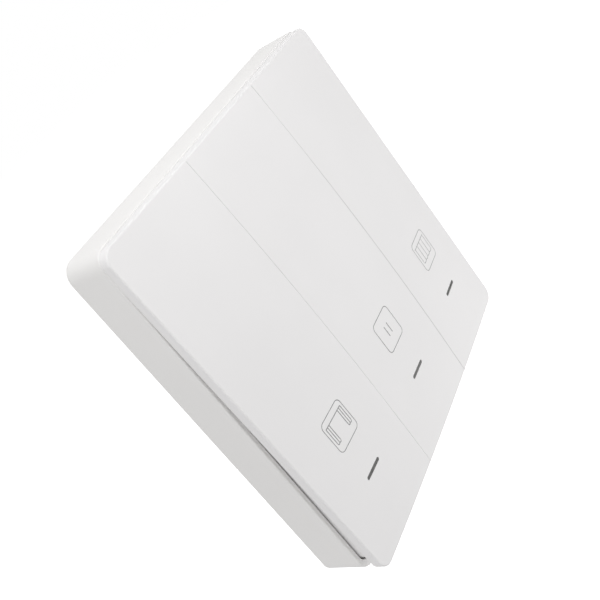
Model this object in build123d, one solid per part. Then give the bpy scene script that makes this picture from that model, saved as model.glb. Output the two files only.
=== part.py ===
from build123d import *
import os
from math import radians, sqrt, tan

# Wireless wall switch for a roller shutter: three hinged keys on a surface-mounted housing.
# All sizes are in millimetres. The working frame has X to the right, Y up the wall and
# Z out of the wall, with the origin at the middle of the back. Each piece is turned
# upright when it is written, so that the front faces -Y and +Z points up the wall.

# Overall plate
PLATE_WIDTH = 86.0
PLATE_HEIGHT = 86.0
CORNER_RADIUS = 3.3
LEAST_CORNER = 0.3

# Housing walls and floor
HOUSING_WALL = 1.2
RIM_HEIGHT = 9.7
RIM_FILLET = 0.4
RIM_LAND = 1.05
BOTTOM_LAND = 1.8
RABBET_ROOM = 0.5
FLOOR_BACK = 4.2
FLOOR_THICKNESS = 1.2
TABLE_WALL = 1.2
TABLE_CORNER = 3.0
PRY_NOTCH_WIDTH = 9.0
PRY_NOTCH_DEPTH = 1.2

# Pillow front of the keys
FACE_TILT = 2.15
CROWN_MIDDLE = 2.1
CROWN_END = 0.7
CROWN_OVERRUN = 3.0

# Keys
KEY_NAMES = ("open", "pause", "close")
KEY_EDGE = 2.1
KEY_TOP_EDGE = 1.9
KEY_CORNER = 2.8
KEY_TOP_INSET = 0.35
KEY_BOTTOM_INSET = 0.25
KEY_TOP_GAP = 0.06
KEY_WALL = 1.8
KEY_RIB = 1.2
SEAM_GAP = 0.07
KEY_FILLET = 0.4
SKIRT_GAP = 0.45
SKIRT_THICKNESS = 1.2
SKIRT_DIP = 0.9
PRESS_ANGLE = 1.0

# Key hinges
PIVOT_INSET = 4.8
PIVOT_DROP = 1.9
PIN_RADIUS = 0.9
PIN_CLEARANCE = 0.05
EYE_WALL = 0.75
LUG_SPACING = 17.0
LUG_THICKNESS = 1.5
EAR_THICKNESS = 1.5
EAR_GAP = 0.15
EAR_ROOT = 0.5

# Catch legs that stop each key at rest
LEG_RISE = 5.6
LEG_SPACING = 14.0
LEG_WIDTH = 4.0
LEG_THICKNESS = 1.2
LEG_CLEARANCE = 0.25
BARB_REACH = 0.6
BARB_HEIGHT = 0.7
BARB_LAND = 0.3
CATCH_GAP = 0.05

# Pressing posts and push switches
LEVER_ARM = 30.0
POST_RADIUS = 1.5
POST_FILLET = 0.4
POST_GAP = 0.05
SWITCH_SIDE = 6.0
PLUNGER_DROP = 1.62
SWITCH_LID = 0.4
SWITCH_BASE = 0.7
SWITCH_WINDOW_GAP = 0.4
TERMINAL_WIDTH = 0.8
TERMINAL_REACH = 1.1
TERMINAL_SHEET = 0.25
TERMINAL_SPACING = 4.5
PLUNGER_RADIUS = 1.75
PLUNGER_RISE = 0.9
PLUNGER_CLEARANCE = 0.05
COLLAR_RADIUS = 2.3
COLLAR_THICKNESS = 0.6
COLLAR_CLEARANCE = 0.3

# Status windows and lamps
SLIT_RISE = 15.05
SLIT_LENGTH = 5.85
SLIT_WIDTH = 0.85
GUIDE_CLEARANCE = 0.04
GUIDE_RECESS = 0.1
GUIDE_FLANGE = 0.8
GUIDE_OVERHANG = 0.9
GUIDE_STEM_WIDTH = 1.8
GUIDE_LAMP_GAP = 0.4
LAMP_WINDOW_GAP = 0.8
LED_LENGTH = 2.0
LED_WIDTH = 1.25
LED_BASE = 0.35
LED_HEIGHT = 0.8
LENS_LENGTH = 1.2
LENS_TAPER = 12.0

# Wall plate
WALL_PLATE_THICKNESS = 1.6
WALL_PLATE_RIM = 1.2
WALL_PLATE_GAP = 0.15
SCREW_PITCH = 60.0
SLOT_LENGTH = 7.0
SLOT_WIDTH = 4.2
HEAD_RECESS = 0.6
HEAD_ROOM = 1.9
TAPE_LENGTH = 52.0
TAPE_WIDTH = 16.0
TAPE_CORNER = 2.0
TAPE_RECESS = 0.4
TAPE_SPACING = 48.0
SNAP_RADIUS = 0.45
SNAP_CLEARANCE = 0.1
SNAP_LENGTH = 12.0
SNAP_SPACING = 44.0
SNAP_HEIGHT = 2.6

# Circuit board and its screws
BOARD_MARGIN_X = 10.0
BOARD_MARGIN_Y = 12.0
BOARD_THICKNESS = 1.2
BOARD_CORNER = 2.0
BOARD_CLEARANCE = 0.4
PAD_HEIGHT = 0.4
BOSS_RADIUS = 2.2
BOSS_RISE = 1.2
BOSS_CAP = 0.8
BOSS_INSET_TOP = 7.0
BOSS_INSET_BOTTOM = 17.0
SCREW_RADIUS = 0.72
SCREW_HOLE_GAP = 0.2
SCREW_PILOT_GAP = 0.03
SCREW_TIP_GAP = 0.4
SCREW_HEAD_RADIUS = 1.5
SCREW_HEAD_HEIGHT = 1.0
SCREW_SLOT_WIDTH = 0.4
SCREW_SLOT_DEPTH = 0.45

# Coin cell, its holder and contacts
CELL_DIAMETER = 20.0
CELL_THICKNESS = 3.2
CELL_CAP_DIAMETER = 17.6
CELL_CAP_STEP = 0.35
CELL_FILLET = 0.4
CELL_Y = -5.0
HOLDER_GAP = 0.15
HOLDER_WALL = 1.2
HOLDER_HEIGHT = 2.8
HOLDER_NOTCH = 11.0
CLIP_SHEET = 0.25
CLIP_WIDTH = 5.0
CLIP_FOOT = 2.0
CLIP_SIDE_GAP = 0.4
CLIP_BEND = 0.6
CLIP_ROOM = 0.35
SPRING_HEIGHT = 0.6
SPRING_SHEET = 0.2
SPRING_RADIUS = 4.5
SPRING_CROWN_RADIUS = 1.6
SPRING_FOOT = 1.0

# Chips on the back of the board
RADIO_CHIP_SIDE = 5.0
RADIO_CHIP_HEIGHT = 0.85
CHIP_CHAMFER = 0.12
CRYSTAL_LENGTH = 3.2
CRYSTAL_WIDTH = 2.5
CRYSTAL_HEIGHT = 0.8
RESISTOR_LENGTH = 1.6
RESISTOR_WIDTH = 0.8
RESISTOR_HEIGHT = 0.45
CHIP_GAP = 2.0
CHIP_ROW_RISE = 3.7

# Places worked out from the sizes above
SLOPE = tan(radians(FACE_TILT))
KEY_TOP = PLATE_HEIGHT / 2 - KEY_TOP_INSET
KEY_BOTTOM = KEY_BOTTOM_INSET - PLATE_HEIGHT / 2
KEY_LOWEST = RIM_HEIGHT + KEY_TOP_GAP
FACE_EDGE_HEIGHT = KEY_LOWEST + KEY_TOP_EDGE + SLOPE * KEY_TOP
TALL = 3 * FACE_EDGE_HEIGHT
KEY_PITCH = PLATE_WIDTH / len(KEY_NAMES)
KEY_X = [(i - (len(KEY_NAMES) - 1) / 2) * KEY_PITCH for i in range(len(KEY_NAMES))]
PIVOT_Y = PLATE_HEIGHT / 2 - PIVOT_INSET
PIVOT_HEIGHT = RIM_HEIGHT - PIVOT_DROP
SWITCH_Y = PIVOT_Y - LEVER_ARM
SLIT_Y = SLIT_RISE - PLATE_HEIGHT / 2
LEG_Y = LEG_RISE - PLATE_HEIGHT / 2
SKIRT_BACK = SKIRT_GAP + SKIRT_THICKNESS
EYE_RADIUS = PIN_RADIUS + PIN_CLEARANCE + EYE_WALL
SKIRT_TOP = PIVOT_Y - 2 * EYE_RADIUS
END_TRAVEL = (PIVOT_Y - KEY_BOTTOM) * radians(PRESS_ANGLE)
RABBET_DEPTH = SKIRT_DIP + END_TRAVEL + RABBET_ROOM

FLOOR_FRONT = FLOOR_BACK + FLOOR_THICKNESS
CELL_BACK = WALL_PLATE_THICKNESS + CLIP_ROOM + CLIP_SHEET
CELL_FRONT = CELL_BACK + CELL_THICKNESS
BOARD_BACK = CELL_FRONT + SPRING_HEIGHT
BOARD_FRONT = BOARD_BACK + BOARD_THICKNESS
TABLE_BACK = BOARD_FRONT + PAD_HEIGHT
TABLE_FRONT = TABLE_BACK + TABLE_WALL
BOSS_TOP = TABLE_FRONT + BOSS_RISE
PLUNGER_TOP = FACE_EDGE_HEIGHT - SLOPE * SWITCH_Y - PLUNGER_DROP
SWITCH_TOP = PLUNGER_TOP - PLUNGER_RISE
LAMP_TOP = BOARD_FRONT + LED_HEIGHT
SLIT_TRAVEL = (PIVOT_Y - SLIT_Y) * radians(PRESS_ANGLE)
GUIDE_END = LAMP_TOP + SLIT_TRAVEL + GUIDE_LAMP_GAP

BOARD_WIDTH = PLATE_WIDTH - 2 * BOARD_MARGIN_X
BOARD_HEIGHT = PLATE_HEIGHT - 2 * BOARD_MARGIN_Y
TABLE_POCKET_X = BOARD_WIDTH + 2 * BOARD_CLEARANCE
TABLE_POCKET_Y = BOARD_HEIGHT + 2 * BOARD_CLEARANCE
BOSS_PLACES = [
    (x, y)
    for x in (KEY_X[0], KEY_X[-1])
    for y in (BOARD_HEIGHT / 2 - BOSS_INSET_TOP, BOSS_INSET_BOTTOM - BOARD_HEIGHT / 2)
]
CHIP_ROW_Y = SLIT_Y + CHIP_ROW_RISE


# Shared building blocks


def outline(inset):
    """Plan outline of the plate, drawn in by inset all round."""
    corner = max(CORNER_RADIUS - inset, LEAST_CORNER)
    return RectangleRounded(PLATE_WIDTH - 2 * inset, PLATE_HEIGHT - 2 * inset, corner)


def rim_opening(inset):
    """Plan outline inside the rim's land, which is wider at the bottom, drawn in by inset."""
    low = BOTTOM_LAND - PLATE_HEIGHT / 2 + inset
    high = PLATE_HEIGHT / 2 - RIM_LAND - inset
    corner = max(CORNER_RADIUS - RIM_LAND - inset, LEAST_CORNER)
    plan = RectangleRounded(PLATE_WIDTH - 2 * (RIM_LAND + inset), high - low, corner)
    return Pos(0, (low + high) / 2) * plan


def prism(plan, bottom, top):
    """Straight block on a plan sketch between two heights."""
    return extrude(Pos(0, 0, bottom) * plan, top - bottom)


def band(y_low, y_high):
    """Block that spans the whole plate between two heights up the wall."""
    length = 2 * PLATE_WIDTH
    return Pos(0, (y_low + y_high) / 2, 0) * Box(length, y_high - y_low, 4 * TALL)


def crown_rise(y):
    """Rise of the front's middle line over its side edges at height y up the wall."""
    share = (2 * y / PLATE_HEIGHT) ** 2
    return CROWN_MIDDLE - (CROWN_MIDDLE - CROWN_END) * share


def edge_height(y):
    """Distance of the front's side edge from the wall at height y."""
    return FACE_EDGE_HEIGHT - SLOPE * y


def crown_section(y, drop):
    """Cross-section behind the pillow front at height y: an arc over straight sides."""
    rise = crown_rise(y)
    half = PLATE_WIDTH / 2
    radius = (half * half + rise * rise) / (2 * rise)
    reach = half + CROWN_OVERRUN
    middle = edge_height(y) + rise - drop
    side = middle - radius + sqrt(radius * radius - reach * reach)
    arc = ThreePointArc((-reach, side), (0, middle), (reach, side))
    walls = Polyline((reach, side), (reach, -TALL), (-reach, -TALL), (-reach, side))
    return Plane((0, y, 0), x_dir=(1, 0, 0), z_dir=(0, -1, 0)) * make_face([arc, walls])


def behind_front(drop=0.0):
    """Everything behind the pillow front, with that front lowered by drop."""
    reach = PLATE_HEIGHT / 2 + CROWN_OVERRUN
    return loft([crown_section(y, drop) for y in (reach, 0, -reach)])


FRONT = behind_front()
CEILING = behind_front(KEY_WALL)
MID_WALL = behind_front(KEY_WALL / 2)


def above_underside():
    """Half-space in front of the sloping plane that the keys' edges end on."""
    reach = PLATE_HEIGHT
    profile = Polyline(
        (-reach, edge_height(-reach) - KEY_EDGE),
        (reach, edge_height(reach) - KEY_EDGE),
        (reach, TALL),
        (-reach, TALL),
        close=True,
    )
    return extrude(Plane.YZ * make_face(profile), PLATE_WIDTH, both=True)


def side_profile(points, x, width):
    """Block of the given width round x, from an outline in the Y-Z plane."""
    face = Plane.YZ * make_face(Polyline(*points, close=True))
    return Pos(x, 0, 0) * extrude(face, width / 2, both=True)


def eye(x, width, bottom, top):
    """Hinge eye round the pivot line that runs up or down to its root."""
    tab = Pos(0, (bottom + top) / 2) * Rectangle(2 * EYE_RADIUS, top - bottom)
    ring = Pos(0, PIVOT_HEIGHT) * Circle(EYE_RADIUS)
    face = Plane.YZ * (Pos(PIVOT_Y, 0) * (tab + ring))
    return Pos(x, 0, 0) * extrude(face, width / 2, both=True)


def pivot_rod(x_from, x_to, radius):
    """Round rod on the pivot line between two places across the plate."""
    middle = Pos((x_from + x_to) / 2, PIVOT_Y, PIVOT_HEIGHT)
    return middle * Rot(0, 90, 0) * Cylinder(radius, abs(x_to - x_from))


def outer_front_edges(solid):
    """Edges round the pillow front."""
    facing_out = [face for face in solid.faces() if face.normal_at().Z > 0.5]
    front = max(facing_out, key=lambda face: face.area)
    return front.outer_wire().edges()


# Housing


def hinge_lugs(x):
    """Two bearing lugs of one key, each bored for its pin."""
    lugs = []
    for side in (-1, 1):
        place = x + side * LUG_SPACING / 2
        lug = eye(place, LUG_THICKNESS, FLOOR_BACK, PIVOT_HEIGHT)
        bore = pivot_rod(place - LUG_THICKNESS, place + LUG_THICKNESS, PIN_RADIUS + PIN_CLEARANCE)
        lugs.append(lug - bore)
    return lugs


def snap_bars(radius):
    """Half-round snap lines along both sides of the wall plate."""
    x = PLATE_WIDTH / 2 - HOUSING_WALL - WALL_PLATE_GAP
    bar = Rot(90, 0, 0) * Cylinder(radius, SNAP_LENGTH + 2 * (radius - SNAP_RADIUS))
    return [
        Pos(sx * x, sy * SNAP_SPACING / 2, SNAP_HEIGHT) * bar
        for sx in (-1, 1)
        for sy in (-1, 1)
    ]


def housing_shell():
    """Outer walls with a rounded, thinned rim and the floor between them."""
    block = prism(outline(0), 0, RIM_HEIGHT)
    block = fillet(block.edges().group_by(Axis.Z)[-1], RIM_FILLET)
    block -= prism(rim_opening(HOUSING_WALL - RIM_LAND), FLOOR_FRONT, TALL)
    block -= prism(outline(HOUSING_WALL), -TALL, FLOOR_BACK)
    return block - prism(rim_opening(0), RIM_HEIGHT - RABBET_DEPTH, TALL)


def housing():
    """Housing moulding: walls, floor, raised table over the board, lugs, bosses and windows."""
    body = housing_shell()
    table_x = TABLE_POCKET_X + 2 * TABLE_WALL
    table_y = TABLE_POCKET_Y + 2 * TABLE_WALL
    table = RectangleRounded(table_x, table_y, TABLE_CORNER)
    pocket = RectangleRounded(TABLE_POCKET_X, TABLE_POCKET_Y, TABLE_CORNER - TABLE_WALL)
    body += prism(table, FLOOR_BACK, TABLE_FRONT)
    body -= prism(pocket, -TALL, TABLE_BACK)
    for x, y in BOSS_PLACES:
        body += Pos(x, y, 0) * prism(Circle(BOSS_RADIUS), BOARD_FRONT, BOSS_TOP)
        pilot = Circle(SCREW_RADIUS + SCREW_PILOT_GAP)
        body -= Pos(x, y, 0) * prism(pilot, BOARD_FRONT - PAD_HEIGHT, BOSS_TOP - BOSS_CAP)
    window = SWITCH_SIDE + 2 * SWITCH_WINDOW_GAP
    stem_window = SlotOverall(
        SLIT_LENGTH + 2 * LAMP_WINDOW_GAP, GUIDE_STEM_WIDTH + 2 * LAMP_WINDOW_GAP
    )
    for x in KEY_X:
        body += hinge_lugs(x)
        body -= Pos(x, SWITCH_Y, 0) * prism(Rectangle(window, window), BOARD_FRONT, SWITCH_TOP)
        body -= Pos(x, SLIT_Y, 0) * prism(stem_window, BOARD_FRONT, SWITCH_TOP)
        for side in (-1, 1):
            leg_hole = Rectangle(
                LEG_WIDTH + 2 * LEG_CLEARANCE, LEG_THICKNESS + 2 * LEG_CLEARANCE
            )
            place = Pos(x + side * LEG_SPACING / 2, LEG_Y, 0)
            body -= place * prism(leg_hole, 0, FLOOR_FRONT)
    body -= snap_bars(SNAP_RADIUS + SNAP_CLEARANCE)
    notch = Pos(0, -PLATE_HEIGHT / 2) * Rectangle(PRY_NOTCH_WIDTH, 2 * HOUSING_WALL)
    body -= prism(notch, 0, PRY_NOTCH_DEPTH)
    return body


# Wall plate


def wall_plate():
    """Tray that is screwed or taped to the wall and snaps into the back of the housing."""
    inset = HOUSING_WALL + WALL_PLATE_GAP
    plate = prism(outline(inset), 0, FLOOR_BACK)
    plate -= prism(outline(inset + WALL_PLATE_RIM), WALL_PLATE_THICKNESS, TALL)
    for side in (-1, 1):
        place = Pos(side * SCREW_PITCH / 2, 0, 0)
        plate -= place * prism(SlotOverall(SLOT_LENGTH, SLOT_WIDTH), 0, TALL)
        head = SlotOverall(SLOT_LENGTH + 2 * HEAD_ROOM, SLOT_WIDTH + 2 * HEAD_ROOM)
        plate -= place * prism(head, WALL_PLATE_THICKNESS - HEAD_RECESS, TALL)
        tape = RectangleRounded(TAPE_LENGTH, TAPE_WIDTH, TAPE_CORNER)
        plate -= Pos(0, side * TAPE_SPACING / 2, 0) * prism(tape, 0, TAPE_RECESS)
    return plate + snap_bars(SNAP_RADIUS)


# Keys


def key_panel():
    """The three keys as one pillow panel with its outer front edges rounded."""
    plan = RectangleRounded(PLATE_WIDTH, KEY_TOP - KEY_BOTTOM, KEY_CORNER)
    plan = Pos(0, (KEY_TOP + KEY_BOTTOM) / 2) * plan
    panel = prism(plan, KEY_LOWEST, TALL) & FRONT & above_underside()
    return fillet(outer_front_edges(panel), KEY_FILLET)


def skirt_ring():
    """Wall inside the rim that closes the wedge gap along the sides and the bottom."""
    ring = rim_opening(SKIRT_GAP) - rim_opening(SKIRT_BACK)
    low_part = band(-PLATE_HEIGHT, SKIRT_TOP)
    return prism(ring, RIM_HEIGHT - SKIRT_DIP, TALL) & MID_WALL & low_part


def key_slice(x):
    """Block that takes one key's share of the panel, less half a seam on each side."""
    return Pos(x, 0, 0) * Box(KEY_PITCH - SEAM_GAP, 2 * PLATE_HEIGHT, 4 * TALL)


def key_pocket(x):
    """Hollow behind one key's face, as deep as an even wall allows."""
    reach = PLATE_WIDTH / 2 - RIM_LAND - SKIRT_BACK
    left = max(x - KEY_PITCH / 2 + SEAM_GAP / 2 + KEY_RIB, -reach)
    right = min(x + KEY_PITCH / 2 - SEAM_GAP / 2 - KEY_RIB, reach)
    low = BOTTOM_LAND + SKIRT_BACK - PLATE_HEIGHT / 2
    high = SKIRT_TOP
    plan = Pos((left + right) / 2, (low + high) / 2) * Rectangle(right - left, high - low)
    return prism(plan, 0, TALL) & CEILING


def catch_leg(x):
    """Snap leg with a barb under the floor, rooted in the key's wall."""
    front = LEG_Y + LEG_THICKNESS / 2
    back = LEG_Y - LEG_THICKNESS / 2
    catch = FLOOR_BACK - CATCH_GAP
    tip = catch - BARB_HEIGHT
    points = [
        (front, TALL),
        (front, tip),
        (back, tip),
        (back - BARB_REACH, catch - BARB_LAND),
        (back - BARB_REACH, catch),
        (back, catch),
        (back, TALL),
    ]
    return side_profile(points, x, LEG_WIDTH) & MID_WALL


def key_ears(x):
    """Two hinge ears of one key with their pins, inside the housing's lugs."""
    pieces = []
    root = edge_height(PIVOT_Y) - KEY_EDGE + EAR_ROOT
    offset = (LUG_SPACING - LUG_THICKNESS - EAR_THICKNESS) / 2 - EAR_GAP
    for side in (-1, 1):
        ear_x = x + side * offset
        pin_end = x + side * (LUG_SPACING + LUG_THICKNESS) / 2
        pieces.append(eye(ear_x, EAR_THICKNESS, PIVOT_HEIGHT, root))
        pieces.append(pivot_rod(ear_x, pin_end, PIN_RADIUS))
    return pieces


def press_post(x):
    """Round post with a softened tip, just clear of the switch plunger at rest."""
    post = Pos(x, SWITCH_Y, 0) * prism(Circle(POST_RADIUS), PLUNGER_TOP + POST_GAP, TALL)
    post = fillet(post.edges().group_by(Axis.Z)[0], POST_FILLET)
    return post & MID_WALL


def key(panel, skirt, x):
    """One key: its share of panel and skirt, hollowed, with ears, post, legs and slit."""
    share = key_slice(x)
    body = (panel & share) - key_pocket(x)
    body += skirt & share
    body += key_ears(x)
    body += press_post(x)
    for side in (-1, 1):
        body += catch_leg(x + side * LEG_SPACING / 2)
    slit = Pos(x, SLIT_Y, 0) * prism(SlotOverall(SLIT_LENGTH, SLIT_WIDTH), 0, TALL)
    return body - slit


def light_guide(x):
    """Smoked light guide: window in the slit, flange against the key's back, stem to the lamp."""
    place = Pos(x, SLIT_Y, 0)
    gap = 2 * GUIDE_CLEARANCE
    window = SlotOverall(SLIT_LENGTH - gap, SLIT_WIDTH - gap)
    flange = SlotOverall(SLIT_LENGTH + 2 * GUIDE_OVERHANG, SLIT_WIDTH + 2 * GUIDE_OVERHANG)
    stem = SlotOverall(SLIT_LENGTH, GUIDE_STEM_WIDTH)
    below_flange = behind_front(KEY_WALL + GUIDE_FLANGE)
    body = place * prism(window, GUIDE_END, TALL) & behind_front(GUIDE_RECESS)
    body += (place * prism(flange, GUIDE_END, TALL) & CEILING) - below_flange
    body += place * prism(stem, GUIDE_END, TALL) & CEILING
    return body


# Electronics


def circuit_board():
    """Circuit board with its four screw holes."""
    board = prism(RectangleRounded(BOARD_WIDTH, BOARD_HEIGHT, BOARD_CORNER), BOARD_BACK, BOARD_FRONT)
    hole = Circle(SCREW_RADIUS + SCREW_HOLE_GAP)
    for x, y in BOSS_PLACES:
        board -= Pos(x, y, 0) * prism(hole, 0, TALL)
    return board


def switch_case(x):
    """Push-switch case, hollow for the plunger's collar, with four flat terminals."""
    case = prism(RectangleRounded(SWITCH_SIDE, SWITCH_SIDE, SWITCH_LID), BOARD_FRONT, SWITCH_TOP)
    reach = SWITCH_SIDE + 2 * TERMINAL_REACH
    for side in (-1, 1):
        strip = Pos(0, side * TERMINAL_SPACING / 2) * Rectangle(reach, TERMINAL_WIDTH)
        case += prism(strip, BOARD_FRONT, BOARD_FRONT + TERMINAL_SHEET)
    chamber = Circle(COLLAR_RADIUS + COLLAR_CLEARANCE)
    case -= prism(chamber, BOARD_FRONT + SWITCH_BASE, SWITCH_TOP - SWITCH_LID)
    case -= prism(Circle(PLUNGER_RADIUS + PLUNGER_CLEARANCE), BOARD_FRONT + SWITCH_BASE, TALL)
    return Pos(x, SWITCH_Y, 0) * case


def switch_plunger(x):
    """Turned plunger with the collar that keeps it in its case."""
    collar_top = SWITCH_TOP - SWITCH_LID - PLUNGER_CLEARANCE
    profile = Polyline(
        (0, collar_top - COLLAR_THICKNESS),
        (COLLAR_RADIUS, collar_top - COLLAR_THICKNESS),
        (COLLAR_RADIUS, collar_top),
        (PLUNGER_RADIUS, collar_top),
        (PLUNGER_RADIUS, PLUNGER_TOP),
        (0, PLUNGER_TOP),
        close=True,
    )
    body = revolve(Plane.XZ * make_face(profile), Axis.Z)
    return Pos(x, SWITCH_Y, 0) * body


def led(x):
    """Chip lamp: a flat base under a tapered lens."""
    base = prism(Rectangle(LED_LENGTH, LED_WIDTH), BOARD_FRONT, BOARD_FRONT + LED_BASE)
    lens_height = LED_HEIGHT - LED_BASE
    lens_plan = Pos(0, 0, BOARD_FRONT + LED_BASE) * Rectangle(LENS_LENGTH, LED_WIDTH)
    lens = extrude(lens_plan, lens_height, taper=LENS_TAPER)
    return Pos(x, SLIT_Y, 0) * (base + lens)


def board_screws():
    """Four pan-head screws that hold the board against the housing's bosses."""
    screws = []
    tip = BOSS_TOP - BOSS_CAP - SCREW_TIP_GAP
    for x, y in BOSS_PLACES:
        screw = prism(Circle(SCREW_RADIUS), BOARD_BACK, tip)
        head = prism(Circle(SCREW_HEAD_RADIUS), BOARD_BACK - SCREW_HEAD_HEIGHT, BOARD_BACK)
        head = fillet(head.edges().group_by(Axis.Z)[0], SCREW_HEAD_HEIGHT / 2)
        for turn in (0, 90):
            bar = Rot(0, 0, turn) * Rectangle(SCREW_HEAD_RADIUS, SCREW_SLOT_WIDTH)
            head -= prism(bar, 0, BOARD_BACK - SCREW_HEAD_HEIGHT + SCREW_SLOT_DEPTH)
        screws.append(Pos(x, y, 0) * (screw + head))
    return Compound(children=screws)


def coin_cell():
    """Coin cell: can with a smaller cap on the side that faces the board."""
    can = CELL_DIAMETER / 2
    cap = CELL_CAP_DIAMETER / 2
    shoulder = CELL_FRONT - CELL_CAP_STEP
    profile = Polyline(
        (0, CELL_BACK),
        (can, CELL_BACK),
        (can, shoulder),
        (cap, shoulder),
        (cap, CELL_FRONT),
        (0, CELL_FRONT),
        close=True,
    )
    body = revolve(Plane.XZ * make_face(profile), Axis.Z)
    ends = body.edges().filter_by(GeomType.CIRCLE).group_by(SortBy.RADIUS)[-1]
    return Pos(0, CELL_Y, 0) * fillet(ends, CELL_FILLET)


def battery_holder():
    """Round wall on the board that keeps the cell in place, open at the lower side."""
    bore = CELL_DIAMETER / 2 + HOLDER_GAP
    ring = Circle(bore + HOLDER_WALL) - Circle(bore)
    notch = Pos(0, -bore) * Rectangle(HOLDER_NOTCH, 2 * bore)
    return Pos(0, CELL_Y, 0) * prism(ring - notch, BOARD_BACK - HOLDER_HEIGHT, BOARD_BACK)


def contact_clip():
    """Spring clip bent from sheet: two feet on the board and a bar across the cell."""
    half = CLIP_SHEET / 2
    side = CELL_DIAMETER / 2 + HOLDER_GAP + HOLDER_WALL + CLIP_SIDE_GAP + half
    foot = BOARD_BACK - half
    bar = CELL_BACK - half
    path = FilletPolyline(
        (-side - CLIP_FOOT, foot),
        (-side, foot),
        (-side, bar),
        (side, bar),
        (side, foot),
        (side + CLIP_FOOT, foot),
        radius=CLIP_BEND,
    )
    strip = trace(path, line_width=CLIP_SHEET)
    clip = extrude(Plane.XZ * strip, CLIP_WIDTH / 2, both=True)
    return Pos(0, CELL_Y, 0) * clip


def contact_spring():
    """Dished contact disc between the board and the cell's cap."""
    seat = BOARD_BACK
    crown = CELL_FRONT
    inner = SPRING_RADIUS - SPRING_FOOT
    profile = Polyline(
        (0, crown),
        (SPRING_CROWN_RADIUS, crown),
        (inner, seat - SPRING_SHEET),
        (SPRING_RADIUS, seat - SPRING_SHEET),
        (SPRING_RADIUS, seat),
        (inner, seat),
        (SPRING_CROWN_RADIUS, crown + SPRING_SHEET),
        (0, crown + SPRING_SHEET),
        close=True,
    )
    return Pos(0, CELL_Y, 0) * revolve(Plane.XZ * make_face(profile), Axis.Z)


def chip(length, width, height, x, y):
    """Chip on the back of the board with a softened outer edge."""
    body = prism(Rectangle(length, width), BOARD_BACK - height, BOARD_BACK)
    body = chamfer(body.edges().group_by(Axis.Z)[0], CHIP_CHAMFER)
    return Pos(x, y, 0) * body


def led_resistors():
    """One chip resistor behind each lamp."""
    y = SLIT_Y
    chips = [chip(RESISTOR_LENGTH, RESISTOR_WIDTH, RESISTOR_HEIGHT, x, y) for x in KEY_X]
    return Compound(children=chips)


def all_pieces():
    """Every piece by name, in the working frame."""
    panel = key_panel()
    skirt = skirt_ring()
    chip_x = (RADIO_CHIP_SIDE + CRYSTAL_LENGTH) / 2 + CHIP_GAP
    pieces = {
        "housing": housing(),
        "wall_plate": wall_plate(),
        "circuit_board": circuit_board(),
        "board_screws": board_screws(),
        "coin_cell": coin_cell(),
        "battery_holder": battery_holder(),
        "contact_clip": contact_clip(),
        "contact_spring": contact_spring(),
        "radio_chip": chip(RADIO_CHIP_SIDE, RADIO_CHIP_SIDE, RADIO_CHIP_HEIGHT, 0, CHIP_ROW_Y),
        "crystal_can": chip(CRYSTAL_LENGTH, CRYSTAL_WIDTH, CRYSTAL_HEIGHT, chip_x, CHIP_ROW_Y),
        "led_resistors": led_resistors(),
    }
    for name, x in zip(KEY_NAMES, KEY_X):
        pieces["key_" + name] = key(panel, skirt, x)
        pieces["light_guide_" + name] = light_guide(x)
        pieces["switch_case_" + name] = switch_case(x)
        pieces["switch_plunger_" + name] = switch_plunger(x)
        pieces["led_" + name] = led(x)
    return pieces


os.makedirs("parts", exist_ok=True)
UPRIGHT = Rot(90, 0, 0)
for name, piece in all_pieces().items():
    export_step(UPRIGHT * piece, "parts/" + name + ".step")
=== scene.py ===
"""Looks of a wall switch for a roller shutter.

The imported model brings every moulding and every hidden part. This script gives them their finishes,
prints the line pictograms on the keys and sets the switch in a plain bright studio.
Sizes on the switch are in millimetres, those of the lamps and the floor are in metres, and meshes are
written in metres.
"""

import logging
import math
from abc import ABC, abstractmethod
from dataclasses import dataclass, field
from enum import Enum

import bpy
import numpy as np
from mathutils import Euler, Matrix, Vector


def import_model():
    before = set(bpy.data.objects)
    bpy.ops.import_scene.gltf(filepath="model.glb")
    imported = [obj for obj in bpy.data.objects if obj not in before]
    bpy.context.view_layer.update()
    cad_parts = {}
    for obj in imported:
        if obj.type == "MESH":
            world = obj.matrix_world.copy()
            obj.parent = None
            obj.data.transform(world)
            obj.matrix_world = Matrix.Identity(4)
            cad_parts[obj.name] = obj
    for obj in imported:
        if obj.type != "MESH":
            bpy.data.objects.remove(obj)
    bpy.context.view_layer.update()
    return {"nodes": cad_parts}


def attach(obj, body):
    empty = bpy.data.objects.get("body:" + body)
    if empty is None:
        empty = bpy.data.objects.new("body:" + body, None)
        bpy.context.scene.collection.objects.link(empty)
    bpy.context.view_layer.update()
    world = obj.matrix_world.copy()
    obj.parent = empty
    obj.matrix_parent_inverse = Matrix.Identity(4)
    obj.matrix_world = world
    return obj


LOG = logging.getLogger("shutter_switch")
MM = 0.001

Pair = tuple[float, float]
Colour = tuple[float, float, float]
Points = np.ndarray
Socket = bpy.types.NodeSocket
Fed = Socket | float | tuple[float, ...]

WHITE: Colour = (1.0, 1.0, 1.0)
BLACK: Colour = (0.0, 0.0, 0.0)


def opaque(colour: Colour) -> tuple[float, float, float, float]:
    """A colour with the full cover that colour inputs ask for."""
    return (*colour, 1.0)


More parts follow.
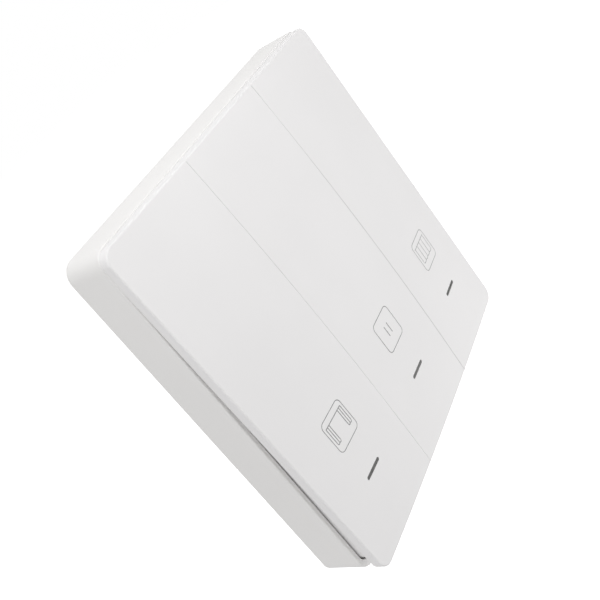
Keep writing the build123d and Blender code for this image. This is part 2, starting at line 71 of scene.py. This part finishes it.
class Graph:
    """An emptied node tree and short ways to fill it."""

    noise_roughness: float = 0.55
    noise_middle: Pair = (0.3, 0.7)

    def __init__(self, tree: bpy.types.NodeTree) -> None:
        """Empties the tree.

        Args:
            tree: The node tree to fill.
        """
        self.tree = tree
        self.tree.nodes.clear()

    def feed(self, target: Socket, value: Fed) -> None:
        """Links a socket to an input, or sets the input to a constant.

        Args:
            target: The input.
            value: The socket or the constant.
        """
        if isinstance(value, Socket):
            self.tree.links.new(value, target)
        else:
            target.default_value = value

    def add(self, kind: str, **inputs: Fed) -> bpy.types.Node:
        """Adds a node and feeds its inputs.

        Args:
            kind: Node type without the ShaderNode prefix.
            inputs: Input names with underscores for spaces, and what each is fed.

        Returns:
            The new node.
        """
        node = self.tree.nodes.new("ShaderNode" + kind)
        for name, value in inputs.items():
            self.feed(node.inputs[name.replace("_", " ")], value)
        return node

    def fill(self, node: bpy.types.Node, *values: Fed) -> Socket:
        """Feeds a node in the order of its inputs.

        Args:
            node: The node.
            values: What its inputs are fed.

        Returns:
            The node's first output.
        """
        for target, value in zip(node.inputs, values):
            self.feed(target, value)
        return node.outputs[0]

    def work_out(self, operation: str, *terms: Fed) -> Socket:
        """Adds a calculation.

        Args:
            operation: Name of the calculation in the Math node.
            terms: Its terms in order.

        Returns:
            The result.
        """
        node = self.add("Math")
        node.operation = operation
        return self.fill(node, *terms)

    def noise(self, grain: float, place: Socket, detail: float = 2.0) -> Socket:
        """Adds a noise pattern.

        Args:
            grain: Size of the pattern's grains in millimetres.
            place: Coordinates that the pattern follows.
            detail: Number of finer layers.

        Returns:
            The pattern's value, about 0.5 on average.
        """
        node = self.add("TexNoise", Vector=place, Detail=detail, Roughness=self.noise_roughness)
        self.feed(node.inputs["Scale"], 1.0 / (grain * MM))
        return node.outputs["Fac"]

    def span(self, value: Socket, given: Pair, wanted: Pair) -> Socket:
        """Maps a value from one range to another in a straight line, and holds it at the ends.

        Args:
            value: The value.
            given: First and last value of the range that comes in.
            wanted: Results for the two.

        Returns:
            The mapped value.
        """
        return self.fill(self.add("MapRange"), value, *given, *wanted)

    def spread(self, pattern: Socket, ends: Pair = (0.0, 1.0)) -> Socket:
        """Maps the middle of a noise pattern to a range.

        Args:
            pattern: The pattern.
            ends: Results where the pattern is low and where it is high.

        Returns:
            The mapped value.
        """
        return self.span(pattern, self.noise_middle, ends)

    def tint(self, share: Socket, first: Fed, second: Fed) -> Socket:
        """Mixes two colours.

        Args:
            share: Share of the second colour.
            first: First colour.
            second: Second colour.

        Returns:
            The mixed colour.
        """
        node = self.add("Mix")
        node.data_type = "RGBA"
        for name, value in (("Factor", share), ("A", first), ("B", second)):
            self.feed(node.inputs[name], value)
        return node.outputs["Result"]

    def relief(self, height: Socket, depth: float) -> Socket:
        """Turns a height pattern into a bumped normal.

        Args:
            height: Pattern from 0 to 1.
            depth: Height of the pattern in millimetres.

        Returns:
            The bumped normal.
        """
        return self.add("Bump", Height=height, Strength=1.0, Distance=depth * MM).outputs["Normal"]

    def place(self) -> Socket:
        """Object coordinates, which are the row frame here."""
        return self.add("TexCoord").outputs["Object"]

    def seen_rays(self) -> Socket:
        """Value that is 1 for camera, glossy and transmission rays, and 0 for the rest.

        Returns:
            The value.
        """
        rays = self.add("LightPath").outputs
        either = self.work_out("MAXIMUM", rays["Is Camera Ray"], rays["Is Glossy Ray"])
        return self.work_out("MAXIMUM", either, rays["Is Transmission Ray"])


class MaterialGraph(Graph):
    """The node tree of a new material."""

    def __init__(self, name: str) -> None:
        """Starts the material.

        Args:
            name: The material's name.
        """
        self.material = bpy.data.materials.new(name)
        self.material.use_nodes = True
        super().__init__(self.material.node_tree)

    def close(self, shader: Socket) -> bpy.types.Material:
        """Ends the tree with a shader and gives the material."""
        self.add("OutputMaterial", Surface=shader)
        return self.material

    def surface(self, **inputs: Fed) -> bpy.types.Material:
        """Ends the tree with a principled shader that is fed the inputs, and gives the material."""
        return self.close(self.add("BsdfPrincipled", **inputs).outputs[0])


class Finish(ABC):
    """A finish that can be made into a material."""

    name: str

    @abstractmethod
    def material(self) -> bpy.types.Material:
        """Makes the finish's material."""


@dataclass(frozen=True)
class SatinMoulding(Finish):
    """Satin moulded plastic with a fine eroded grain and a slow drift of tone."""

    name: str
    tone: Colour
    drift: float = 0.012
    drift_grain: float = 26.0
    grain: float = 0.22
    grain_depth: float = 0.0004
    wave: float = 3.2
    wave_depth: float = 0.0008
    gloss: Pair = (0.56, 0.64)
    specular: float = 0.22

    def colour(self, graph: Graph, place: Socket) -> Socket:
        """Colour that drifts slowly round the tone.

        Args:
            graph: The material that is being made.
            place: Coordinates that the colour follows.

        Returns:
            The colour.
        """
        slow = graph.noise(self.drift_grain, place)
        low = tuple(c * (1.0 - self.drift) for c in self.tone)
        high = tuple(c * (1.0 + self.drift) for c in self.tone)
        return graph.tint(graph.spread(slow), opaque(low), opaque(high))

    def material(self) -> bpy.types.Material:
        """Makes the material: tone drift, gloss drift and a two-scale relief.

        Returns:
            The material.
        """
        graph = MaterialGraph(self.name)
        place = graph.place()
        fine = graph.noise(self.grain, place)
        wave = graph.noise(self.wave, place, detail=1.0)
        height = graph.work_out("MULTIPLY_ADD", wave, self.wave_depth / self.grain_depth, fine)
        return graph.surface(
            Base_Color=self.colour(graph, place),
            Roughness=graph.spread(fine, self.gloss),
            Specular_IOR_Level=self.specular,
            Normal=graph.relief(height, self.grain_depth),
        )


@dataclass(frozen=True)
class KeyMoulding(SatinMoulding):
    """Moulding of the keys, with painted shade along the seam on the right."""

    seam: float = 14.333
    painted_seam_shade: float = 0.35
    painted_seam_shade_tone: Colour = BLACK
    painted_seam_shade_reach: float = 0.15
    painted_seam_shade_heights: Pair = (34.0, 4.0)

    def colour(self, graph: Graph, place: Socket) -> Socket:
        """Darkens the key's colour near the seam with painted shade.

        The painted shade is darkest at the seam and falls evenly to nothing at its reach on both
        sides.
        It grows from nothing at the upper height to its full strength at the lower one.

        Args:
            graph: The material that is being made.
            place: Coordinates that the colour follows.

        Returns:
            The colour.
        """
        # Painted shade: a dark band on the keys beside the right seam, darker towards the bottom.
        axes = graph.add("SeparateXYZ", Vector=place).outputs
        offset = graph.work_out("SUBTRACT", axes["X"], self.seam * MM)
        distance = graph.work_out("ABSOLUTE", offset)
        near = graph.span(distance, (0.0, self.painted_seam_shade_reach * MM), (1.0, 0.0))
        top, bottom = self.painted_seam_shade_heights
        low = graph.span(axes["Z"], (top * MM, bottom * MM), (0.0, self.painted_seam_shade))
        painted_shade_amount = graph.work_out("MULTIPLY", near, low)
        return graph.tint(painted_shade_amount, super().colour(graph, place), opaque(self.painted_seam_shade_tone))


@dataclass(frozen=True)
class SmokedWindow(Finish):
    """Smooth smoked plastic of the status windows."""

    name: str
    tone: Colour
    haze: Colour
    haze_grain: float = 1.4
    gloss: Pair = (0.16, 0.224)
    specular: float = 0.12

    def material(self) -> bpy.types.Material:
        """Makes the material: a dark body with faint haze under a smooth face.

        Returns:
            The material.
        """
        graph = MaterialGraph(self.name)
        cloud = graph.noise(self.haze_grain, graph.place())
        return graph.surface(
            Base_Color=graph.tint(graph.spread(cloud), opaque(self.tone), opaque(self.haze)),
            Roughness=graph.spread(cloud, self.gloss),
            Specular_IOR_Level=self.specular,
        )


@dataclass(frozen=True)
class PrintInk(Finish):
    """Pad-printed ink: matt, with a slightly uneven cover."""

    name: str
    thin: Colour
    full: Colour
    cover_grain: float = 0.5
    gloss: Pair = (0.55, 0.72)
    specular: float = 0.25

    def material(self) -> bpy.types.Material:
        """Makes the material: uneven cover and a dry, matt surface.

        Returns:
            The material.
        """
        graph = MaterialGraph(self.name)
        cover = graph.noise(self.cover_grain, graph.place(), detail=3.0)
        return graph.surface(
            Base_Color=graph.tint(graph.spread(cover), opaque(self.thin), opaque(self.full)),
            Roughness=graph.spread(cover, self.gloss),
            Specular_IOR_Level=self.specular,
        )


@dataclass(frozen=True)
class PlatedSteel(Finish):
    """Plated sheet steel with fine drawn lines and faint stains."""

    name: str
    tone: Colour
    stain: float = 0.86
    stain_grain: float = 2.5
    line_stretch: float = 18.0
    line_grain: float = 0.12
    line_depth: float = 0.0012
    gloss: Pair = (0.22, 0.38)

    def material(self) -> bpy.types.Material:
        """Makes the material: metal with drawn lines in its gloss and stains in its tone.

        Returns:
            The material.
        """
        graph = MaterialGraph(self.name)
        place = graph.place()
        drawn = graph.add("Mapping", Vector=place, Scale=(1.0 / self.line_stretch, 1.0, 1.0))
        lines = graph.noise(self.line_grain, drawn.outputs["Vector"])
        cloud = graph.noise(self.stain_grain, place)
        dull = tuple(c * self.stain for c in self.tone)
        return graph.surface(
            Base_Color=graph.tint(graph.spread(cloud), opaque(dull), opaque(self.tone)),
            Metallic=1.0,
            Roughness=graph.spread(lines, self.gloss),
            Normal=graph.relief(lines, self.line_depth),
        )


@dataclass(frozen=True)
class BoardMask(Finish):
    """Solder mask over a woven board with faint copper runs."""

    name: str
    tone: Colour
    copper: Colour
    run_pitch: float = 4.2
    run_gap: float = 0.08
    weave: float = 0.7
    weave_depth: float = 0.004
    roughness: float = 0.35

    def material(self) -> bpy.types.Material:
        """Makes the material: woven base, copper shining through and a glossy mask.

        Returns:
            The material.
        """
        graph = MaterialGraph(self.name)
        place = graph.place()
        scale = 1.0 / (self.run_pitch * MM)
        runs = graph.add("TexBrick", Vector=place, Scale=scale, Mortar_Size=self.run_gap)
        cloth = graph.noise(self.weave, place, detail=1.0)
        return graph.surface(
            Base_Color=graph.tint(runs.outputs["Fac"], opaque(self.tone), opaque(self.copper)),
            Roughness=self.roughness,
            Normal=graph.relief(cloth, self.weave_depth),
        )


@dataclass(frozen=True)
class LampLens(Finish):
    """Cast resin of the chip lamps, cloudy over the chip."""

    name: str
    clear: Colour
    cloudy: Colour
    cloud_grain: float = 0.6
    gloss: Pair = (0.12, 0.25)
    specular: float = 0.5

    def material(self) -> bpy.types.Material:
        """Makes the material: cloudy resin with a smooth face.

        Returns:
            The material.
        """
        graph = MaterialGraph(self.name)
        cloud = graph.noise(self.cloud_grain, graph.place())
        return graph.surface(
            Base_Color=graph.tint(graph.spread(cloud), opaque(self.clear), opaque(self.cloudy)),
            Roughness=graph.spread(cloud, self.gloss),
            Specular_IOR_Level=self.specular,
        )


HOUSING_FINISH = SatinMoulding("housing_satin", (0.829, 0.819, 0.810))
KEY_FINISH = KeyMoulding("key_satin", (0.831, 0.821, 0.821))
TRAY_FINISH = SatinMoulding("tray_satin", (0.80, 0.794, 0.784), grain=0.4, grain_depth=0.003)
BLACK_FINISH = SatinMoulding("black_moulding", (0.035, 0.035, 0.038), drift=0.2, grain_depth=0.002)
PLUNGER_FINISH = SatinMoulding("plunger_moulding", (0.14, 0.14, 0.15), drift=0.08)
WINDOW_FINISH = SmokedWindow("smoked_window", (0.066, 0.065, 0.063), (0.100, 0.099, 0.096))
INK_FINISH = PrintInk("grey_print", (0.33, 0.33, 0.33), (0.24, 0.24, 0.245))
STEEL_FINISH = PlatedSteel("plated_steel", (0.70, 0.70, 0.68))
BOARD_FINISH = BoardMask("board_mask", (0.020, 0.11, 0.055), (0.045, 0.17, 0.075))
LENS_FINISH = LampLens("lamp_lens", (0.85, 0.83, 0.62), (0.90, 0.78, 0.40))


@dataclass(frozen=True)
class PillowFront:
    """The keys' shared front: arcs across the plate over a tilted plane.

    The middle line rises over the side edges by a crown that falls off towards both ends as the
    square of the distance from the middle.
    """

    half_width: float = 43.0
    half_height: float = 43.0
    edge_height: float = 13.2612
    tilt: float = 2.15
    crown_middle: float = 2.1
    crown_end: float = 0.7

    def height(self, x: Points, z: Points) -> Points:
        """Distance of the front from the wall.

        The side edge's height at z, plus the crown at z, less the sagitta of the arc that spans the
        plate with that crown.

        Args:
            x: Places across the plate.
            z: Places up the wall.

        Returns:
            Heights in millimetres.
        """
        crown = self.crown_middle - (self.crown_middle - self.crown_end) * (z / self.half_height) ** 2
        edge = self.edge_height - math.tan(math.radians(self.tilt)) * z
        radius = (self.half_width**2 + crown**2) / (2.0 * crown)
        return edge + crown - radius + np.sqrt(radius**2 - x**2)

    def lift(self, x: Points, z: Points, above: Points) -> Points:
        """Points over the front in the row frame.

        Args:
            x: Places across the plate.
            z: Places up the wall.
            above: Heights over the front.

        Returns:
            Points in metres, with the last axis holding x, y and z.
        """
        return np.stack([x, -(self.height(x, z) + above), z], axis=-1) * MM


@dataclass(frozen=True)
class Stroke:
    """One printed line: a path in the pictogram's own plane, and the line's width."""

    path: Points
    width: float
    closed: bool = False

    def normals(self) -> Points:
        """Unit normals along the path: its direction turned by a quarter turn.

        Returns:
            One normal for each point.
        """
        if self.closed:
            along = np.roll(self.path, -1, axis=0) - np.roll(self.path, 1, axis=0)
        else:
            along = np.gradient(self.path, axis=0)
        along /= np.linalg.norm(along, axis=1, keepdims=True)
        return np.stack([-along[:, 1], along[:, 0]], axis=-1)

    def fullness(self, least: float) -> Points:
        """Share of the full width and height at each point.

        It is 1 all along a closed line. Towards the ends of an open one it follows a half circle:
        the root of 1 less the square of what the distance to the end lacks of the half width.

        Args:
            least: Share at the very ends.

        Returns:
            One share for each point.
        """
        if self.closed:
            return np.ones(len(self.path))
        step = np.linalg.norm(np.diff(self.path, axis=0), axis=1)
        run = np.concatenate([[0.0], np.cumsum(step)])
        to_end = np.minimum(run, run[-1] - run)
        inside = np.clip(to_end / (self.width / 2.0), 0.0, 1.0)
        return np.sqrt(np.clip(1.0 - (1.0 - inside) ** 2, least**2, 1.0))


@dataclass(frozen=True)
class StrokeKit:
    """Paths of printed lines, as whole arrays of points that are a small step apart."""

    step: float = 0.06
    least_bow: int = 7
    doubled: float = 1e-6

    def run(self, start: Pair, end: Pair) -> Points:
        """Straight path from start to end: start plus a share of the way.

        Args:
            start: First point.
            end: Last point.

        Returns:
            The path's points.
        """
        length = math.dist(start, end)
        share = np.linspace(0.0, 1.0, max(2, round(length / self.step)))[:, None]
        return np.asarray(start) + share * (np.asarray(end) - np.asarray(start))

    def bow(self, centre: Pair, radii: Pair, turn: Pair) -> Points:
        """Elliptic arc: centre plus the radii times cosine and sine of a running angle.

        Args:
            centre: Middle of the ellipse.
            radii: Half axes across and up.
            turn: First and last angle in degrees.

        Returns:
            The path's points.
        """
        length = math.radians(abs(turn[1] - turn[0])) * max(radii)
        count = max(self.least_bow, round(length / self.step))
        angle = np.radians(np.linspace(*turn, count))
        across = centre[0] + radii[0] * np.cos(angle)
        up = centre[1] + radii[1] * np.sin(angle)
        return np.stack([across, up], axis=-1)

    def chain(self, *parts: Points) -> Points:
        """Joins paths end to end and drops the doubled points.

        Args:
            parts: The paths in order.

        Returns:
            The joined path's points.
        """
        path = np.concatenate(parts)
        gap = np.linalg.norm(np.diff(path, axis=0), axis=1)
        return path[np.concatenate([[True], gap > self.doubled])]

    def rounded_square(self, half: Pair, radius: float) -> Points:
        """Closed path round a rectangle with quarter-circle corners.

        Args:
            half: Half width and half height.
            radius: Corner radius.

        Returns:
            The path's points, without the first one repeated.
        """
        w, h = half
        cx, cy = w - radius, h - radius
        round_corner = (radius, radius)
        parts = [
            self.run((-cx, h), (cx, h)),
            self.bow((cx, cy), round_corner, (90.0, 0.0)),
            self.run((w, cy), (w, -cy)),
            self.bow((cx, -cy), round_corner, (0.0, -90.0)),
            self.run((cx, -h), (-cx, -h)),
            self.bow((-cx, -cy), round_corner, (-90.0, -180.0)),
            self.run((-w, -cy), (-w, cy)),
            self.bow((-cx, cy), round_corner, (180.0, 90.0)),
        ]
        return self.chain(*parts)[:-1]


class KeyRole(Enum):
    """What a key does, which sets its pictogram."""

    OPEN = "open"
    PAUSE = "pause"
    CLOSE = "close"


@dataclass(frozen=True)
class Pictogram:
    """The line pictogram of one key: a rounded frame with a sign inside."""

    role: KeyRole
    half: Pair = (3.99, 3.97)
    corner: float = 1.15
    rail_height: float = 2.44
    rail_reach: float = 3.36
    drawn_folds: tuple[float, ...] = (1.99, 2.63, 3.27)
    closed_folds: tuple[float, ...] = (-3.05, -1.53, 0.0, 1.53, 3.05)
    hem: float = -1.70
    hem_droop: float = 0.32
    bar_offset: float = 0.75
    bar_reach: float = 1.38
    frame_width: float = 0.19
    curtain_width: float = 0.22
    bar_width: float = 0.24
    kit: StrokeKit = field(default_factory=StrokeKit)

    def frame(self) -> Stroke:
        """The rounded frame."""
        return Stroke(self.kit.rounded_square(self.half, self.corner), self.frame_width, closed=True)

    def rail(self) -> Stroke:
        """The curtain rail."""
        ends = (-self.rail_reach, self.rail_height), (self.rail_reach, self.rail_height)
        return Stroke(self.kit.run(*ends), self.curtain_width)

    def fold_line(self, x: float) -> Stroke:
        """One upright fold from the rail to the hem."""
        return Stroke(self.kit.run((x, self.rail_height), (x, self.hem)), self.curtain_width)

    def hem_bow(self, left: float, right: float) -> Points:
        """Half an ellipse that hangs between two folds."""
        radii = ((right - left) / 2.0, self.hem_droop)
        return self.kit.bow(((left + right) / 2.0, self.hem), radii, (180.0, 360.0))

    def curtain(self, folds: tuple[float, ...]) -> list[Stroke]:
        """Folds and scalloped hem of one curtain.

        Args:
            folds: Places of the upright folds from left to right.

        Returns:
            The strokes.
        """
        bows = [self.hem_bow(left, right) for left, right in zip(folds[:-1], folds[1:])]
        hem = Stroke(self.kit.chain(*bows), self.curtain_width)
        return [*(self.fold_line(x) for x in folds), hem]

    def bar(self, x: float) -> Stroke:
        """One upright bar of the pause sign."""
        return Stroke(self.kit.run((x, self.bar_reach), (x, -self.bar_reach)), self.bar_width)

    def strokes(self) -> list[Stroke]:
        """All strokes of the pictogram.

        Returns:
            The frame and the strokes of the sign in it.
        """
        if self.role is KeyRole.PAUSE:
            return [self.frame(), self.bar(-self.bar_offset), self.bar(self.bar_offset)]
        if self.role is KeyRole.OPEN:
            left = tuple(-x for x in reversed(self.drawn_folds))
            return [self.frame(), self.rail(), *self.curtain(left), *self.curtain(self.drawn_folds)]
        return [self.frame(), self.rail(), *self.curtain(self.closed_folds)]


@dataclass
class KeyPrint:
    """Printed pictogram of one key, laid on the pillow front."""

    sign: Pictogram
    centre: Pair
    front: PillowFront
    ink: bpy.types.Material
    ink_height: float = 0.012
    sink: float = 0.004
    end_share: float = 0.05
    shoulder: float = 0.72
    shoulder_share: float = 0.8

    def section(self) -> tuple[Points, Points]:
        """Cross-section of a printed line: a flat lens whose last side is its sunk underside.

        Returns:
            Offsets across the line as shares of its half width, and heights over the front.
        """
        across = np.array([-1.0, -self.shoulder, 0.0, self.shoulder, 1.0])
        side = self.ink_height * self.shoulder_share
        above = np.array([-self.sink, side, self.ink_height, side, -self.sink])
        return across, above

    def ribbon(self, stroke: Stroke) -> Points:
        """Carries the cross-section along a stroke.

        Each point of the path is moved along the path's normal by the section's offset times the half
        width, and lifted by the section's height. An open line's half width and height fall off to
        a round end that sinks into the front.

        Args:
            stroke: The line to follow.

        Returns:
            Points in metres, one row for each section.
        """
        full = stroke.fullness(self.end_share)[:, None]
        across, above = self.section()
        offset = full * across * stroke.width / 2.0
        flat = stroke.path[:, None, :] + stroke.normals()[:, None, :] * offset[..., None]
        x = self.centre[0] + flat[..., 0]
        z = self.centre[1] + flat[..., 1]
        return self.front.lift(x, z, full * (above + self.sink) - self.sink)

    def shell(self, rows: int, cols: int, closed: bool) -> tuple[Points, Points]:
        """Faces that make a closed shell of a stroke's sections.

        A side joins two neighbours on a section to the same two on the next section. The last section
        of a closed line leads back to its first one, and an open line has a cap at each end.

        Args:
            rows: Number of sections.
            cols: Number of points on a section.
            closed: Whether the line is closed.

        Returns:
            Corner numbers of the sides and of the caps.
        """
        here = np.arange(rows if closed else rows - 1)[:, None] * cols
        there = (here + cols) % (rows * cols)
        side = np.arange(cols)
        after = np.roll(side, -1)
        sides = np.stack([here + side, there + side, there + after, here + after], axis=-1)
        caps = np.stack([side, (rows - 1) * cols + side[::-1]])
        return sides.reshape(-1, 4), caps[:0] if closed else caps

    def build(self) -> bpy.types.Object:
        """Makes the print's mesh and hangs it on its key.

        Returns:
            The print's object.
        """
        points: list[Points] = []
        sides: list[Points] = []
        caps: list[Points] = []
        start = 0
        for stroke in self.sign.strokes():
            grid = self.ribbon(stroke)
            rows, cols, _ = grid.shape
            some_sides, some_caps = self.shell(rows, cols, stroke.closed)
            points.append(grid.reshape(-1, 3))
            sides.append(start + some_sides)
            caps.append(start + some_caps)
            start += rows * cols
        faces = np.concatenate(sides).tolist() + np.concatenate(caps).tolist()
        role = self.sign.role.value
        mesh = bpy.data.meshes.new("print_" + role)
        mesh.from_pydata(np.concatenate(points).tolist(), [], faces)
        mesh.polygons.foreach_set("use_smooth", np.ones(len(mesh.polygons), dtype=bool))
        mesh.update()
        mesh.materials.append(self.ink)
        piece = bpy.data.objects.new("print_" + role, mesh)
        bpy.context.scene.collection.objects.link(piece)
        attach(piece, "key_body_" + role)
        return piece


@dataclass
class Mouldings:
    """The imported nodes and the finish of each."""

    nodes: dict[str, bpy.types.Object]
    finishes: dict[str, Finish] = field(
        default_factory=lambda: {
            "housing": HOUSING_FINISH,
            "wall_plate": TRAY_FINISH,
            "circuit_board": BOARD_FINISH,
            "board_screws": STEEL_FINISH,
            "coin_cell": STEEL_FINISH,
            "battery_holder": BLACK_FINISH,
            "contact_clip": STEEL_FINISH,
            "contact_spring": STEEL_FINISH,
            "radio_chip": BLACK_FINISH,
            "crystal_can": STEEL_FINISH,
            "led_resistors": BLACK_FINISH,
            "key": KEY_FINISH,
            "light_guide": WINDOW_FINISH,
            "switch_case": BLACK_FINISH,
            "switch_plunger": PLUNGER_FINISH,
            "led": LENS_FINISH,
        }
    )

    def family(self, node: str) -> str:
        """Name of a node without its key's role.

        Args:
            node: The node's name.

        Returns:
            The name that its finish is listed under.
        """
        for role in KeyRole:
            node = node.removesuffix("_" + role.value)
        return node

    def dress(self) -> None:
        """Gives every node the material of its finish."""
        made: dict[str, bpy.types.Material] = {}
        for name, node in self.nodes.items():
            finish = self.finishes[self.family(name)]
            if finish.name not in made:
                made[finish.name] = finish.material()
            node.data.materials.clear()
            node.data.materials.append(made[finish.name])
            LOG.info("node %s: %s", name, finish.name)


@dataclass
class SoftLamp:
    """A square soft box aimed at the switch, with its place and side in metres."""

    name: str
    place: tuple[float, float, float]
    side: float
    power: float

    def build(self) -> None:
        """Makes the lamp and turns it to the origin."""
        lamp = bpy.data.lights.new(self.name, "AREA")
        lamp.shape = "SQUARE"
        lamp.size = self.side
        lamp.energy = self.power
        holder = bpy.data.objects.new(self.name, lamp)
        holder.location = self.place
        holder.rotation_euler = (-Vector(self.place)).to_track_quat("-Z", "Y").to_euler()
        holder.visible_camera = False
        bpy.context.scene.collection.objects.link(holder)


@dataclass
class Studio:
    """Camera, lamps, white surroundings and a pale floor well below the switch.

    The camera's place is in millimetres, and its reach, the floor and the lamps are in metres.
    """

    camera_place: tuple[float, float, float] = (-129.72, -126.90, 75.86)
    camera_turn: tuple[float, float, float] = (61.621, 34.120, -62.434)
    camera_reach: Pair = (0.01, 20.0)
    lens: float = 52.812
    sensor: float = 36.0
    ambient: float = 0.54
    floor_drop: float = 0.30
    floor_half: float = 3.0
    floor_tone: Colour = (0.82, 0.82, 0.82)
    floor_glow: float = 0.8
    lamps: tuple[SoftLamp, ...] = (
        SoftLamp("back_lamp", (0.0, 0.25, 0.50), 0.50, 0.338),
        SoftLamp("left_lamp", (-0.50, -0.15, 0.25), 0.50, 0.926),
        SoftLamp("low_lamp", (0.16, -0.20, -0.16), 0.18, 0.305),
        SoftLamp("corner_lamp", (-0.07, -0.08, 0.13), 0.08, 0.0134),
        SoftLamp("top_lamp", (0.0, -0.09, 0.15), 0.10, 0.0748),
        SoftLamp("rear_lamp", (0.30, 0.45, -0.10), 0.50, 0.90),
    )

    def camera(self) -> None:
        """Sets the camera where the photograph was taken from."""
        data = bpy.data.cameras.new("camera")
        data.sensor_width = self.sensor
        data.sensor_fit = "HORIZONTAL"
        data.lens = self.lens
        data.clip_start, data.clip_end = self.camera_reach
        camera = bpy.data.objects.new("camera", data)
        camera.location = Vector(self.camera_place) * MM
        camera.rotation_euler = Euler([math.radians(a) for a in self.camera_turn], "XYZ")
        bpy.context.scene.collection.objects.link(camera)
        bpy.context.scene.camera = camera

    def surroundings(self) -> None:
        """White world for what is seen, and an even ambient light for what is lit."""
        world = bpy.data.worlds.new("white_room")
        world.use_nodes = True
        graph = Graph(world.node_tree)
        lit = graph.add("Background", Color=opaque(WHITE), Strength=self.ambient)
        seen = graph.add("Background", Color=opaque(WHITE), Strength=1.0)
        mix = graph.add("MixShader")
        both = graph.fill(mix, graph.seen_rays(), lit.outputs[0], seen.outputs[0])
        graph.add("OutputWorld", Surface=both)
        bpy.context.scene.world = world

    def floor(self) -> None:
        """Pale floor that keeps shadows: a diffuse face plus a white glow for rays that see it."""
        graph = MaterialGraph("pale_floor")
        face = graph.add("BsdfDiffuse", Color=opaque(self.floor_tone))
        level = graph.work_out("MULTIPLY", graph.seen_rays(), self.floor_glow)
        glow = graph.add("Emission", Strength=level)
        both = graph.fill(graph.add("AddShader"), face.outputs[0], glow.outputs[0])
        material = graph.close(both)
        half, drop = self.floor_half, -self.floor_drop
        corners = [(-half, -half, drop), (half, -half, drop), (half, half, drop), (-half, half, drop)]
        mesh = bpy.data.meshes.new("floor")
        mesh.from_pydata(corners, [], [(0, 1, 2, 3)])
        mesh.materials.append(material)
        floor = bpy.data.objects.new("floor", mesh)
        bpy.context.scene.collection.objects.link(floor)

    def build(self) -> None:
        """Makes the whole studio."""
        bpy.context.scene.view_settings.view_transform = "Standard"
        self.camera()
        self.surroundings()
        self.floor()
        for lamp in self.lamps:
            lamp.build()


SIGNS: tuple[tuple[Pictogram, Pair], ...] = (
    (Pictogram(KeyRole.OPEN), (-28.30, -15.46)),
    (Pictogram(KeyRole.PAUSE), (-0.06, -15.38)),
    (Pictogram(KeyRole.CLOSE, frame_width=0.155, curtain_width=0.155), (28.87, -15.58)),
)


def main() -> None:
    """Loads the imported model, dresses it and sets up the studio."""
    logging.basicConfig(level=logging.INFO)
    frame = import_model()
    Mouldings(frame["nodes"]).dress()
    front = PillowFront()
    ink = INK_FINISH.material()
    for sign, centre in SIGNS:
        piece = KeyPrint(sign, centre, front, ink).build()
        LOG.info("piece %s: %d faces", piece.name, len(piece.data.polygons))
    Studio().build()


if __name__ == "__main__":
    main()
